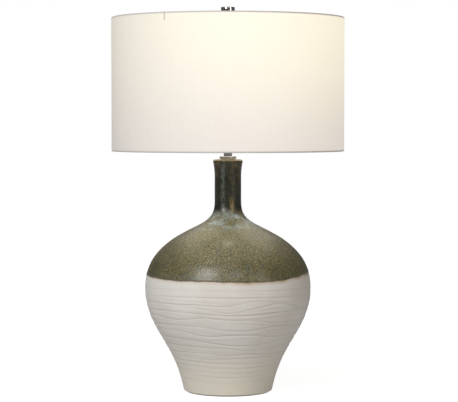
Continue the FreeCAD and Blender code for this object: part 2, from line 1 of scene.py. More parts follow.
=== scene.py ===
import bpy
import math
import numpy as np
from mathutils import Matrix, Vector


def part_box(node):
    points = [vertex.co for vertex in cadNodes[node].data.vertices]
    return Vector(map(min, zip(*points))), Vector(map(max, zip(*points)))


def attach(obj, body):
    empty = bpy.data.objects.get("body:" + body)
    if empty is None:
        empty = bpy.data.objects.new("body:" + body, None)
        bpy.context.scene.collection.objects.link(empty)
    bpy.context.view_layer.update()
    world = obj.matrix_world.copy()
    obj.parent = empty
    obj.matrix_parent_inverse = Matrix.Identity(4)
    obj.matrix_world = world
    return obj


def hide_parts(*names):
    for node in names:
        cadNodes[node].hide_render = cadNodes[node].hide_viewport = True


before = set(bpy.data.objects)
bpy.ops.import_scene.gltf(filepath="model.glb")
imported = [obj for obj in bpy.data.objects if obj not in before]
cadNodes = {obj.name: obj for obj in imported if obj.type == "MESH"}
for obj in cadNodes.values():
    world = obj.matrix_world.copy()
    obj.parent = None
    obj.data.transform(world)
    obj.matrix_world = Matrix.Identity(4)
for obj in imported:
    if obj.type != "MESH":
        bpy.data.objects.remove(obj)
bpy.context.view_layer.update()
print("frame loaded:", len(cadNodes), "nodes")


def deselectAll():
    if bpy.context.object and bpy.context.object.mode != "OBJECT":
        bpy.ops.object.mode_set(mode="OBJECT")
    bpy.ops.object.select_all(action="DESELECT")


def pick(piece):
    deselectAll()
    piece.select_set(True)
    bpy.context.view_layer.objects.active = piece
    return piece


def editAll(piece):
    pick(piece)
    bpy.ops.object.mode_set(mode="EDIT")
    bpy.ops.mesh.select_all(action="SELECT")


def smoothShade(piece, degrees=35):
    pick(piece)
    bpy.ops.object.shade_smooth_by_angle(angle=math.radians(degrees))


def turnOnLathe(name, profile, steps):
    # one point is drawn along the profile, (radius, height) in metres, and the line is spun about Z
    deselectAll()
    bpy.ops.mesh.primitive_plane_add(size=0.001, location=(0, 0, 0))
    piece = bpy.context.object
    piece.name = piece.data.name = name
    bpy.ops.object.mode_set(mode="EDIT")
    bpy.ops.mesh.select_mode(type="VERT")
    bpy.ops.mesh.select_all(action="SELECT")
    bpy.ops.mesh.merge(type="CENTER")
    bpy.ops.transform.translate(value=(profile[0][0], 0, profile[0][1]))
    for here, there in zip(profile, profile[1:]):
        step = (there[0] - here[0], 0, there[1] - here[1])
        bpy.ops.mesh.extrude_vertices_move(TRANSFORM_OT_translate={"value": step})
    bpy.ops.mesh.select_all(action="SELECT")
    bpy.ops.mesh.remove_doubles(threshold=1e-6)
    bpy.ops.mesh.select_all(action="SELECT")
    bpy.ops.mesh.spin(steps=steps, angle=2 * math.pi, center=(0, 0, 0), axis=(0, 0, 1))
    bpy.ops.mesh.select_all(action="SELECT")
    bpy.ops.mesh.remove_doubles(threshold=2e-6)
    bpy.ops.mesh.normals_make_consistent(inside=False)
    bpy.ops.object.mode_set(mode="OBJECT")
    return piece


def smoothCurve(points, count):
    # a natural cubic through the points, by chord length
    points = np.array(points, float)
    t = np.concatenate([[0], np.cumsum(np.linalg.norm(np.diff(points, axis=0), axis=1))])
    n, h = len(t), np.diff(t)
    rows, right = np.eye(n), np.zeros((n, 2))
    for i in range(1, n - 1):
        rows[i, i - 1:i + 2] = h[i - 1], 2 * (h[i - 1] + h[i]), h[i]
        right[i] = 6 * ((points[i + 1] - points[i]) / h[i] - (points[i] - points[i - 1]) / h[i - 1])
    curve = np.linalg.solve(rows, right)
    at = np.linspace(0, t[-1], count)
    k = np.clip(np.searchsorted(t, at) - 1, 0, n - 2)
    a, b = ((t[k + 1] - at) / h[k])[:, None], ((at - t[k]) / h[k])[:, None]
    bend = ((a ** 3 - a) * curve[k] + (b ** 3 - b) * curve[k + 1]) * (h[k] ** 2)[:, None] / 6
    return a * points[k] + b * points[k + 1] + bend


def corner(centre, radius, start, end, steps=6):
    # an arc of a profile about its centre, angles in degrees from the radius direction
    angles = [math.radians(start + (end - start) * i / steps) for i in range(steps + 1)]
    return [(centre[0] + radius * math.cos(a), centre[1] + radius * math.sin(a)) for a in angles]


def readPoints(piece):
    points = np.zeros(len(piece.data.vertices) * 3)
    piece.data.vertices.foreach_get("co", points)
    return points.reshape(-1, 3)


def writePoints(piece, points):
    piece.data.vertices.foreach_set("co", points.ravel())
    piece.data.update()


def keepOnPoints(piece, name, values):
    # a number on each point, for the finish to read
    layer = piece.data.attributes.new(name, "FLOAT", "POINT")
    layer.data.foreach_set("value", np.asarray(values, np.float32))


def around(stations, degrees):
    # a closed smooth curve through (angle, value) stations, read at many angles
    stations = sorted(stations)
    angle = np.array([s[0] for s in stations], float)
    value = np.array([s[1] for s in stations], float)
    angle = np.concatenate([angle[-2:] - 360, angle, angle[:2] + 360])
    value = np.concatenate([value[-2:], value, value[:2]])
    slope = np.gradient(value, angle)
    at = np.mod(degrees - stations[0][0], 360) + stations[0][0]
    k = np.clip(np.searchsorted(angle, at, side="right") - 1, 0, len(angle) - 2)
    h = angle[k + 1] - angle[k]
    t = (at - angle[k]) / h
    return ((2 * t ** 3 - 3 * t ** 2 + 1) * value[k] + (t ** 3 - 2 * t ** 2 + t) * h * slope[k]
            + (3 * t ** 2 - 2 * t ** 3) * value[k + 1] + (t ** 3 - t ** 2) * h * slope[k + 1])


def frontAngle(points):
    # degrees round the lamp, 0 at the front and positive to the right as the camera sees it
    return np.degrees(np.arctan2(points[:, 0], -points[:, 1]))


class Value:
    # a node's output: sums and products of these add their Math nodes
    def __init__(self, finish, socket):
        self.finish, self.socket = finish, socket

    def maths(self, operation, *others):
        sockets = dict(enumerate((self,) + others))
        return self.finish.add("ShaderNodeMath", {"operation": operation}, sockets)

    def __add__(self, other):
        return self.maths("ADD", other)

    def __sub__(self, other):
        return self.maths("SUBTRACT", other)

    def __mul__(self, other):
        return self.maths("MULTIPLY", other)

    def __rsub__(self, other):
        return self.finish.add("ShaderNodeMath", {"operation": "SUBTRACT"}, {0: other, 1: self})

    __radd__, __rmul__ = __add__, __mul__

    def above(self, low, high):
        # 0 below low, 1 above high, smooth between
        return self.finish.add("ShaderNodeMapRange", {"interpolation_type": "SMOOTHSTEP"},
                               {"Value": self, "From Min": low, "From Max": high})


class Finish:
    def __init__(self, name):
        self.material = bpy.data.materials.new(name)
        self.material.use_nodes = True
        self.tree = self.material.node_tree
        self.surface = self.tree.nodes["Principled BSDF"]

    def add(self, kind, settings=None, sockets=None, output=0):
        node = self.tree.nodes.new(kind)
        for key, value in (settings or {}).items():
            if key == "stops":
                ramp = node.color_ramp
                while len(ramp.elements) < len(value):
                    ramp.elements.new(0.5)
                for stop, (place, colour) in zip(ramp.elements, value):
                    stop.position, stop.color = place, (*colour, 1)
            else:
                setattr(node, key, value)
        for key, value in (sockets or {}).items():
            self.plug(node.inputs[key], value)
        return Value(self, node.outputs[output])

    def plug(self, socket, value):
        if isinstance(value, Value):
            self.tree.links.new(value.socket, socket)
        elif isinstance(value, (tuple, list)) and socket.type == "RGBA":
            socket.default_value = (*value, 1)
        else:
            socket.default_value = value

    def place(self, scale=(1, 1, 1)):
        where = self.add("ShaderNodeTexCoord", output="Object")
        return self.add("ShaderNodeMapping", None, {"Vector": where, "Scale": scale})

    def noise(self, size, where=None, detail=3.0, rough=0.55, warp=0.0):
        # size is the width of one patch in metres
        return self.add("ShaderNodeTexNoise", None, {
            "Vector": where or self.place(), "Scale": 1 / size, "Detail": detail, "Roughness": rough,
            "Distortion": warp})

    def cells(self, size, output="Distance"):
        return self.add("ShaderNodeTexVoronoi", None, {"Vector": self.place(), "Scale": 1 / size}, output)

    def colour(self, amount, stops):
        return self.add("ShaderNodeValToRGB", {"stops": stops}, {"Fac": amount})

    def mix(self, amount, first, second):
        return self.add("ShaderNodeMix", {"data_type": "RGBA"}, {0: amount, 6: first, 7: second}, 2)

    def onPoints(self, name):
        return self.add("ShaderNodeAttribute", {"attribute_name": name}, output="Fac")

    def bump(self, height, depth):
        return self.add("ShaderNodeBump", None, {"Height": height, "Distance": depth})

    def axis(self, number, where=None):
        # 0, 1 or 2 for the point's X, Y or Z in metres
        return self.add("ShaderNodeSeparateXYZ", None, {0: where or self.place()}, number)

    def set(self, **sockets):
        for key, value in sockets.items():
            self.plug(self.surface.inputs[key.replace("_", " ")], value)
        return self.material


def polishedNickel():
    look = {"smear": 0.035, "scratch": 0.0012, "metal": (0.86, 0.84, 0.80), "shadow": (0.74, 0.72, 0.68)}
    f = Finish("polishedNickel")
    smear = f.noise(look["smear"], detail=4)
    scratch = f.noise(look["scratch"], f.place((1, 1, 12)), detail=2)
    tint = f.mix(smear.above(0.35, 0.7), look["metal"], look["shadow"])
    return f.set(Base_Color=tint, Metallic=1.0, Roughness=0.03 + 0.05 * smear + 0.03 * scratch,
                 Normal=f.bump(scratch, 0.000006))


def zincPlate():
    f = Finish("zincPlate")
    spangle = f.cells(0.004, output="Color")
    grain = f.noise(0.0008, detail=4)
    patch = f.noise(0.02)
    tint = f.mix(patch.above(0.4, 0.65), (0.60, 0.61, 0.62), (0.48, 0.47, 0.43))
    tint = f.mix(0.15 * grain, tint, spangle)
    return f.set(Base_Color=tint, Metallic=1.0, Roughness=0.32 + 0.2 * grain,
                 Normal=f.bump(grain, 0.00004))


def rawBrass():
    f = Finish("rawBrass")
    patch = f.noise(0.008, detail=5)
    tint = f.colour(patch, [(0.3, (0.40, 0.27, 0.10)), (0.55, (0.73, 0.55, 0.26)), (0.8, (0.83, 0.67, 0.38))])
    return f.set(Base_Color=tint, Metallic=1.0, Roughness=0.18 + 0.25 * patch,
                 Normal=f.bump(f.noise(0.0006), 0.00003))


def woolFelt():
    f = Finish("woolFelt")
    fibre = f.noise(0.0012, f.place((1, 1, 3)), detail=8, rough=0.75, warp=1.2)
    patch = f.noise(0.03)
    tint = f.colour(fibre, [(0.25, (0.42, 0.40, 0.35)), (0.6, (0.58, 0.56, 0.50)), (0.85, (0.74, 0.72, 0.66))])
    tint = f.mix(0.4 * patch, tint, (0.50, 0.47, 0.41))
    return f.set(Base_Color=tint, Roughness=0.96, Sheen_Weight=0.5, Sheen_Roughness=0.6,
                 Normal=f.bump(fibre, 0.0006))


def mouldedPlastic(name, colour, rough, grain=0.0006, depth=0.00003):
    f = Finish(name)
    cloud = f.noise(0.02)
    pit = f.noise(grain, detail=2)
    worn = tuple(min(1, c * 1.25 + 0.015) for c in colour)
    return f.set(Base_Color=f.mix(0.45 * cloud, colour, worn), Roughness=rough + 0.12 * cloud,
                 Normal=f.bump(pit, depth))


def pressedCard():
    f = Finish("pressedCard")
    fibre = f.noise(0.0011, f.place((1, 1, 4)), detail=7, rough=0.7)
    tint = f.colour(fibre, [(0.3, (0.10, 0.065, 0.04)), (0.6, (0.20, 0.14, 0.09)), (0.85, (0.34, 0.26, 0.18))])
    return f.set(Base_Color=tint, Roughness=0.85, Normal=f.bump(fibre, 0.0001))


def whitePorcelain():
    f = Finish("whitePorcelain")
    cloud, speck = f.noise(0.012), f.cells(0.003)
    tint = f.mix(cloud.above(0.3, 0.8), (0.86, 0.85, 0.80), (0.80, 0.78, 0.72))
    tint = f.mix(1 - speck.above(0.03, 0.06), tint, (0.45, 0.40, 0.33))
    return f.set(Base_Color=tint, Roughness=0.28 + 0.2 * cloud, Coat_Weight=0.35, Coat_Roughness=0.15,
                 Normal=f.bump(f.noise(0.002), 0.00004))


def rolledAluminium():
    f = Finish("rolledAluminium")
    band = f.noise(0.0009, f.place((0.2, 0.2, 6)), detail=3)
    patch = f.noise(0.006)
    tint = f.mix(patch.above(0.35, 0.7), (0.80, 0.80, 0.79), (0.66, 0.66, 0.65))
    return f.set(Base_Color=tint, Metallic=1.0, Roughness=0.24 + 0.2 * band, Normal=f.bump(band, 0.00004))


def blackGlass():
    f = Finish("blackGlass")
    swirl = f.noise(0.004, warp=1.0)
    tint = f.mix(swirl.above(0.4, 0.7), (0.02, 0.02, 0.025), (0.07, 0.06, 0.07))
    return f.set(Base_Color=tint, Roughness=0.12 + 0.15 * swirl)


def dullSolder():
    f = Finish("dullSolder")
    lump = f.noise(0.002, detail=4)
    tint = f.mix(lump.above(0.35, 0.65), (0.50, 0.50, 0.51), (0.66, 0.66, 0.66))
    return f.set(Base_Color=tint, Metallic=1.0, Roughness=0.35 + 0.25 * lump, Normal=f.bump(lump, 0.0003))


def opalGlass():
    look = {"glow": (1.0, 0.86, 0.62), "strength": 1.7, "foot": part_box("bulb_glass")[0].z, "rise": 0.03}
    f = Finish("opalGlass")
    height = f.axis(2)
    cloud = f.noise(0.02)
    lit = height.above(look["foot"], look["foot"] + look["rise"])
    glow = f.mix(lit * (0.85 + 0.15 * cloud), (0.55, 0.40, 0.24), look["glow"])
    return f.set(Base_Color=f.mix(0.3 * cloud, (0.93, 0.92, 0.88), (0.86, 0.85, 0.80)),
                 Roughness=0.22 + 0.1 * cloud, Emission_Color=glow, Emission_Strength=look["strength"],
                 Coat_Weight=0.5, Coat_Roughness=0.05)


def whiteEnamelWire():
    f = Finish("whiteEnamelWire")
    cloud, peel = f.noise(0.03), f.noise(0.0018)
    tint = f.mix(cloud.above(0.35, 0.7), (0.84, 0.83, 0.79), (0.76, 0.74, 0.69))
    return f.set(Base_Color=tint, Roughness=0.38 + 0.15 * cloud, Normal=f.bump(peel, 0.00006))


print("small finishes ready to mix")


jar = {
    "footZ": 0.0025, "footRadius": 0.0973, "footRound": 0.003, "bellyRadius": 0.1816, "bellyZ": 0.2265,
    "neckRadius": 0.0289, "neckZ": 0.4205, "waistZ": 0.4525, "lipRadius": 0.0324, "lipRound": 0.0046,
    "lower": [(0.064, 0.098), (0.2055, 0.2545), (0.439, 0.433), (0.773, 0.656), (0.962, 0.857)],
    "shoulder": [(0.029, 0.181), (0.108, 0.326), (0.244, 0.456), (0.409, 0.560),
                 (0.578, 0.637), (0.7335, 0.6995), (0.871, 0.762), (0.9725, 0.855)],
    "wall": 0.0065, "ringWidth": 0.012, "recessDepth": 0.018, "recessRound": 0.0025, "floor": 0.007,
    "rodHole": 0.0052, "glazeDepth": 0.001,
    # the glaze's lower edge, in millimetres above the table at degrees round from the front
    "glazeEdge": [(-150, 255), (-115, 251.5), (-90, 256), (-64, 255.4), (-37, 253.4), (-17, 254.5),
                  (0, 253.6), (17, 252.5), (37, 253.7), (52, 257.3), (64, 260.5), (90, 263),
                  (120, 256.9), (160, 252.5)],
    "edgeRipple": 0.00035, "waistShare": 0.42, "flareRise": 0.78, "rodClear": 0.008,
    "columns": 240, "rows": 310, "hiddenRows": 34,
    "glazeColumns": 384, "glazeRows": 150, "glazeInnerRows": 60, "glazeProud": 0.0002, "glazeFollows": 0.09,
}
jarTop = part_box("glaze_coat")[1].z


def jarOutline(count):
    foot = (jar["footRadius"], jar["footZ"] + jar["footRound"])
    belly, neck = (jar["bellyRadius"], jar["bellyZ"]), (jar["neckRadius"], jar["neckZ"])
    lip = (jar["lipRadius"], jarTop - jar["lipRound"])
    flare = (neck[0] + jar["waistShare"] * (lip[0] - neck[0]),
             jar["waistZ"] + jar["flareRise"] * (lip[1] - jar["waistZ"]))

    def between(a, b, shares):
        return [(a[0] + r * (b[0] - a[0]), a[1] + z * (b[1] - a[1])) for r, z in shares]

    points = [foot] + between(foot, belly, jar["lower"]) + [belly] + between(belly, neck, jar["shoulder"])
    return smoothCurve(points + [neck, (neck[0], jar["waistZ"]), flare, lip], count)


outline = jarOutline(1600)


def jarRadius(height):
    return np.interp(height, outline[:, 1], outline[:, 0])


def alongOutline(low, high, count, depth):
    # evenly spaced along the curve, and that deep inside it, square to it
    curve = outline[(outline[:, 1] > low) & (outline[:, 1] < high)]
    along = np.gradient(curve, axis=0)
    inward = np.column_stack([-along[:, 1], along[:, 0]]) / np.hypot(along[:, 0], along[:, 1])[:, None]
    picked = np.linspace(0, len(curve) - 1, count).round().astype(int)
    return [(float(r), float(z)) for r, z in (curve + depth * inward)[picked]]


def glazeEdgeAt(degrees):
    ripple = np.sin(np.radians(degrees) * 23) + 0.7 * np.sin(np.radians(degrees) * 41 + 1.3)
    return around(jar["glazeEdge"], degrees) / 1000 + jar["edgeRipple"] * ripple


# The combed lines, as the camera sees them: for each its heights in millimetres at seven places across
# the front, from the left edge to the right one, and then how deep it is cut.
combing = {
    "across": (-0.9, -0.6, -0.3, 0.0, 0.3, 0.6, 0.9), "viewTilt": 0.100, "above": 0.0012, "below": 0.0031,
    "depth": 0.00125, "between": 0.3,
    "backAngles": (100, 135, 180, 225, 260), "backWander": 0.003, "hand": 0.00022, "handFrom": 0.012,
    "lines": [
        ((224.6, 221.9, 219.7, 218.3, 217.8, 220.0, 226.0), 0.45),
        ((210.9, 206.3, 204.1, 202.7, 203.5, 205.2, 212.3), 0.8),
        ((196.4, 190.4, 188.2, 186.0, 196.4, 194.2, 183.5), 1.0),
        ((195.9, 189.0, 180.8, 171.5, 180.2, 193.1, 184.1), 0.9),
        ((180.2, 175.0, 169.6, 166.5, 167.6, 173.4, 182.2), 1.0),
        ((168.7, 158.6, 161.9, 157.2, 158.0, 164.3, 173.9), 0.8),
        ((168.5, 158.3, 161.6, 157.5, 156.4, 152.0, 157.5), 0.9),
        ((149.8, 146.0, 142.4, 134.7, 135.3, 144.6, 147.1), 1.0),
        ((139.7, 134.2, 123.2, 124.6, 125.2, 121.9, 128.2), 1.0),
        ((121.9, 115.8, 109.5, 103.8, 102.7, 108.7, 119.1), 1.0),
        ((106.0, 101.3, 98.0, 96.6, 92.0, 95.0, 104.9), 0.9),
        ((89.8, 87.6, 85.7, 80.2, 84.6, 82.4, 87.6), 0.8),
        ((81.9, 77.2, 72.0, 73.4, 74.7, 76.6, 81.3), 0.7),
        ((72.0, 67.6, 64.3, 63.2, 62.1, 64.3, 72.5), 0.6),
        ((61.6, 57.4, 53.3, 52.2, 52.8, 55.5, 61.6), 0.5),
        ((50.6, 46.5, 43.5, 42.4, 41.8, 45.1, 51.1), 0.4),
        ((41.0, 36.9, 33.6, 32.2, 33.3, 36.9, 41.8), 0.35),
        ((30.0, 25.9, 21.8, 20.4, 21.5, 24.6, 30.0), 0.3),
    ],
}


def lineHeights(number, seen, degrees):
    # the true height of one combed line all the way round, its back half wandering by a formula
    stations = []
    for across, height in zip(combing["across"], seen):
        angle = math.asin(across)
        nearer = jarRadius(height / 1000) * math.cos(angle)
        stations.append((math.degrees(angle), height / 1000 + combing["viewTilt"] * nearer))
    middle = sum(z for _, z in stations) / len(stations)
    for k, angle in enumerate(combing["backAngles"]):
        wander = math.sin(number * 2.4 + k * 1.9) + 0.6 * math.sin(number * 1.1 - k * 2.7)
        stations.append((angle, middle + combing["backWander"] * wander))
    return around(stations, degrees)


def combedDepth(points):
    # how far the combing and the thrower's hand move each point inwards
    degrees, height = frontAngle(points), points[:, 2]
    turn = np.radians(degrees)
    cut, last = np.zeros(len(points)), None
    for number, (seen, strength) in enumerate(combing["lines"]):
        line = lineHeights(number, seen, degrees)
        tracks = [(line, strength)]
        if last is not None:
            # a fainter stroke wanders between each line and the one above it
            share = 0.5 + 0.3 * np.sin(turn * 2 + number * 2.1)
            tracks.append((line + share * (last - line), combing["between"] * strength))
        last = line
        for track, weight in tracks:
            # steep on its upper side, where the tool's edge ran, and easy below
            off = height - track
            groove = np.exp(-(off / np.where(off > 0, combing["above"], combing["below"])) ** 2)
            fade = 0.78 + 0.22 * np.sin(turn * 3 + number * 1.7)
            cut = np.maximum(cut, weight * fade * groove)
    hand = 0.16 * np.sin(height * 520 + 1.5 * np.sin(turn * 2)) + 0.2 * np.sin(height * 95 + turn * 3)
    return cut, combing["depth"] * cut + combing["hand"] * hand * (height > combing["handFrom"])


def makeStoneware():
    foot = jar["footRadius"] - jar["footRound"]
    inner = foot - jar["ringWidth"]
    base, roof = jar["footZ"], jar["footZ"] + jar["recessDepth"]
    top = max(z for _, z in jar["glazeEdge"]) / 1000 + 0.008
    heights = np.linspace(base + jar["footRound"], top, jar["rows"])
    wall = [(float(jarRadius(z)), float(z)) for z in heights]
    mouth, ceiling = jarTop - 0.004, jarTop - 0.008
    neck = alongOutline(top + 0.001, mouth, jar["hiddenRows"], jar["glazeDepth"] + 0.0005)
    inside = alongOutline(roof + jar["floor"] + 0.006, jarTop - 0.01, jar["hiddenRows"], jar["wall"])[::-1]
    inside[0], inside[-1] = (inside[0][0], ceiling), (inside[-1][0], roof + jar["floor"])
    recess = corner((inner - jar["recessRound"], roof - jar["recessRound"]), jar["recessRound"], 90, 0, 4)
    profile = corner((foot, base + jar["footRound"]), jar["footRound"], -90, 0, 5)[:-1] + wall + neck
    profile += [(jar["rodClear"], mouth), (jar["rodClear"], ceiling)] + inside
    profile += [(jar["rodHole"], roof + jar["floor"]), (jar["rodHole"], roof)] + recess
    profile += [(inner, base), (foot, base)]
    piece = turnOnLathe("combedBody", profile, jar["columns"])
    points = readPoints(piece)
    radius = np.hypot(points[:, 0], points[:, 1])
    outside = (np.abs(radius - jarRadius(points[:, 2])) < 2e-4) & (points[:, 2] > base + jar["footRound"])
    cut, depth = combedDepth(points)
    edge = glazeEdgeAt(frontAngle(points))
    # the wall steps in under the glaze, so that the glaze stands a little proud of it
    under = np.clip((points[:, 2] - edge - 0.002) / 0.003, 0, 1) * (jar["glazeDepth"] + 0.0004)
    shrink = np.where(outside, (depth + under) / np.maximum(radius, 1e-6), 0)
    shaped = points.copy()
    shaped[:, :2] *= (1 - shrink)[:, None]
    writePoints(piece, shaped)
    keepOnPoints(piece, "combed", np.where(outside, cut, 0))
    keepOnPoints(piece, "belowGlaze", np.clip((edge - points[:, 2]) * 100, -1, 10))
    return piece


def cutOutlet(piece):
    # the mains outlet: a round hole with a flat seat for its bush, low at the back
    low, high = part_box("outlet_bush")
    middle, seat = (low.z + high.z) / 2, high.y - 0.002
    seatRadius, holeRadius, length = 0.0084, 0.006, 0.02
    deselectAll()
    bpy.ops.mesh.primitive_cylinder_add(vertices=64, radius=seatRadius, depth=length,
                                        location=(0, seat + length / 2, middle), rotation=(math.pi / 2, 0, 0))
    drill = bpy.context.object
    bpy.ops.object.transform_apply(location=True, rotation=True, scale=True)
    for face in drill.data.polygons:
        face.select = face.normal.y < -0.9
    bpy.ops.object.mode_set(mode="EDIT")
    bpy.ops.mesh.select_mode(type="FACE")
    bpy.ops.mesh.inset(thickness=seatRadius - holeRadius)
    bpy.ops.mesh.extrude_region_move(TRANSFORM_OT_translate={"value": (0, low.y - 0.004 - seat, 0)})
    pick(piece)
    hole = piece.modifiers.new("hole", "BOOLEAN")
    hole.operation, hole.object, hole.solver = "DIFFERENCE", drill, "EXACT"
    bpy.ops.object.modifier_apply(modifier="hole")
    bpy.data.objects.remove(drill, do_unlink=True)


def stonewareFinish():
    look = {"clay": (0.76, 0.725, 0.68), "pale": (0.82, 0.795, 0.76), "warm": (0.79, 0.745, 0.65),
            "groove": (0.62, 0.575, 0.52), "stain": (0.56, 0.40, 0.27), "rust": (0.20, 0.115, 0.05),
            "grit": (0.46, 0.39, 0.32)}
    f = Finish("combedStoneware")
    height = f.axis(2)
    cloud, grain = f.noise(0.09, detail=4), f.noise(0.0011, detail=5, rough=0.7)
    tint = f.mix(cloud.above(0.35, 0.68), look["clay"], look["pale"])
    tint = f.mix(1 - height.above(0.02, 0.14), tint, look["warm"])
    # painted shade: the clay is coloured darker in the combed grooves, where shade falls in the cuts
    tint = f.mix(f.onPoints("combed") * 0.4, tint, look["groove"])
    tint = f.mix(0.3 - 0.3 * f.cells(0.006).above(0.05, 0.11), tint, look["grit"])
    tint = f.mix(0.08 * grain, tint, look["grit"])
    # the clay is stained where the glaze stops
    gap = f.onPoints("belowGlaze") + 0.35 * f.noise(0.018, f.place((1, 1, 0.5))) - 0.17
    across = f.axis(0)
    patchy = f.noise(0.05).above(0.34, 0.56) * (0.35 + 0.65 * across.above(-0.07, 0.06))
    stain = (1 - gap.above(0.12, 0.72)) * patchy
    tint = f.mix(0.85 * stain, tint, look["stain"])
    tint = f.mix(0.75 * (1 - gap.above(-0.04, 0.10)), tint, look["rust"])
    relief = 0.7 * grain + 0.3 * f.noise(0.004)
    return f.set(Base_Color=tint, Roughness=0.62 + 0.16 * grain - 0.2 * stain, Normal=f.bump(relief, 0.00022))


def glazeFinish():
    look = {
        "olive": (0.060, 0.062, 0.020), "khaki": (0.165, 0.140, 0.056), "straw": (0.34, 0.27, 0.11),
        "slate": (0.112, 0.130, 0.104), "ice": (0.38, 0.47, 0.50), "pit": (0.006, 0.008, 0.004),
        "neck": (0.009, 0.011, 0.004), "amber": (0.115, 0.078, 0.014), "gold": (0.34, 0.26, 0.09),
        "paintedNeckHighlight": (0.13, 0.16, 0.145), "pale": (0.40, 0.375, 0.25), "rust": (0.20, 0.12, 0.045),
        "grain": (0.60, 0.55, 0.38), "moss": (0.042, 0.052, 0.020), "lip": (0.50, 0.40, 0.24),
        "speck": 0.0022, "fleck": 0.0052,
    }
    f = Finish("reactiveGlaze")
    height = f.axis(2)
    rise = f.onPoints("aboveEdge")
    cloud, drift = f.noise(0.11, detail=5), f.noise(0.035, detail=4, warp=0.6)
    speck, fleck = f.noise(look["speck"], detail=3, rough=0.7), f.noise(look["fleck"], detail=4, rough=0.75)
    tint = f.colour(speck, [(0.37, look["pit"]), (0.45, look["olive"]), (0.53, look["khaki"]),
                            (0.64, look["straw"])])
    tint = f.mix(0.75 * fleck.above(0.52, 0.62), tint, look["slate"])
    tint = f.mix(0.6 * cloud.above(0.48, 0.70), tint, look["moss"])
    tint = f.mix(0.45 * (drift * speck).above(0.30, 0.38), tint, look["straw"])
    # paler and greyer towards the top of the shoulder, with rusty blotches, bright grains and dark pits
    tint = f.mix(0.42 * height.above(0.272, 0.350) * speck.above(0.34, 0.56), tint, look["pale"])
    blotch = f.noise(0.013, detail=6, rough=0.72)
    tint = f.mix(0.55 * blotch.above(0.56, 0.68), tint, look["rust"])
    tint = f.mix(0.60 * (1 - blotch.above(0.34, 0.45)), tint, look["slate"])
    grains, pits = f.cells(0.0062), f.cells(0.0085)
    tint = f.mix(0.8 * (1 - grains.above(0.10, 0.20)) * height.above(0.265, 0.31), tint, look["grain"])
    tint = f.mix(0.95 - 0.95 * pits.above(0.09, 0.16), tint, look["pit"])
    # the neck is nearly black, mottled with amber high up and a little gold at its foot
    neck = height.above(0.380, 0.402)
    mottle = f.noise(0.009, f.place((1, 1, 0.6)), detail=7, rough=0.75, warp=0.5)
    amber = mottle.above(0.45, 0.60) * (0.18 + 0.82 * height.above(0.445, 0.50))
    dark = f.mix(0.55 * fleck.above(0.48, 0.60), look["neck"], look["moss"])
    dark = f.mix(0.95 * amber, dark, look["amber"])
    # a painted grey-green highlight down the front of the neck, left of the middle, standing for a reflection,
    # and a shorter gold streak of glaze on its right
    across, away = f.axis(0), f.axis(1)
    front = 1 - away.above(-0.005, 0.0)
    paintedNeckHighlight = across.above(-0.0175, -0.0125) * (1 - across.above(-0.0105, -0.0045)) * front
    dark = f.mix(0.85 * paintedNeckHighlight * mottle.above(0.38, 0.56), dark, look["paintedNeckHighlight"])
    gold = across.above(0.0020, 0.0060) * (1 - across.above(0.0095, 0.0140)) * front
    gold = gold * (1 - height.above(0.412, 0.432)) * mottle.above(0.36, 0.54)
    dark = f.mix(0.6 * gold, dark, look["gold"])
    tint = f.mix(neck, tint, dark)
    # glaze has pooled pale blue round the neck's foot
    pool = height.above(0.352, 0.370) * (1 - height.above(0.378, 0.404))
    pool = pool * f.noise(0.02, detail=6).above(0.42, 0.60)
    tint = f.mix(pool * (0.20 + 0.80 * fleck.above(0.40, 0.56)), tint, look["ice"])
    # thin and grey along its lower edge, and down to the clay at the lip
    thin = (1 - rise.above(0.2, 1.8)) * drift.above(0.32, 0.6)
    tint = f.mix(0.65 * thin * fleck.above(0.40, 0.55), tint, look["slate"])
    tint = f.mix(0.7 * (1 - rise.above(0.0, 0.10)), tint, look["amber"])
    tint = f.mix(height.above(jarTop - 0.0042, jarTop - 0.0012), tint, look["lip"])
    relief = 0.5 * speck + 0.45 * fleck + 0.6 * pits.above(0.05, 0.16) + 0.5 * neck * mottle
    return f.set(Base_Color=tint, Roughness=0.36 + 0.24 * fleck - 0.14 * neck, Coat_Weight=0.48,
                 Coat_Roughness=0.26, Normal=f.bump(relief, 0.00045))


def makeGlaze():
    edge = min(z for _, z in jar["glazeEdge"]) / 1000
    lipStart, rimUnder = jarTop - jar["lipRound"], jarTop - 0.003
    outer = alongOutline(edge, lipStart, jar["glazeRows"], -jar["glazeProud"])
    lip = corner((jar["lipRadius"] - jar["lipRound"], lipStart), jar["lipRound"], 0, 90, 8)[1:]
    inner = alongOutline(edge, lipStart, jar["glazeInnerRows"], jar["glazeDepth"])[::-1]
    profile = outer + lip + [(jar["rodClear"], jarTop), (jar["rodClear"], rimUnder)]
    profile += [(jar["lipRadius"] - 0.004, rimUnder)] + inner + [outer[0]]
    piece = turnOnLathe("glazeCoat", profile, jar["glazeColumns"])
    points = readPoints(piece)
    # the lower edge follows the glaze line, and its last few millimetres swell and roll in
    wanted = glazeEdgeAt(frontAngle(points))
    share = np.clip(1 - (points[:, 2] - edge) / jar["glazeFollows"], 0, 1) ** 1.5
    radius = np.hypot(points[:, 0], points[:, 1])
    depthIn = jarRadius(points[:, 2]) - radius
    points[:, 2] += share * (wanted - edge)
    rise = points[:, 2] - wanted
    swell = 0.0005 * np.exp(-((rise - 0.0022) / 0.0016) ** 2) - 0.0009 * np.exp(-(rise / 0.0009) ** 2)
    skin = depthIn < 0.0005
    newRadius = jarRadius(points[:, 2]) - depthIn + np.where(skin, swell, 0)
    newRadius = np.where(points[:, 2] > jarTop - 0.006, radius, newRadius)
    points[:, :2] *= (newRadius / np.maximum(radius, 1e-6))[:, None]
    writePoints(piece, points)
    keepOnPoints(piece, "aboveEdge", np.clip(rise * 100, 0, 10))
    return piece


def finishPiece(piece, material, body, stands, angle=35):
    piece.data.materials.clear()
    piece.data.materials.append(material)
    smoothShade(piece, angle)
    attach(piece, body)
    if stands:
        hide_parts(*stands)


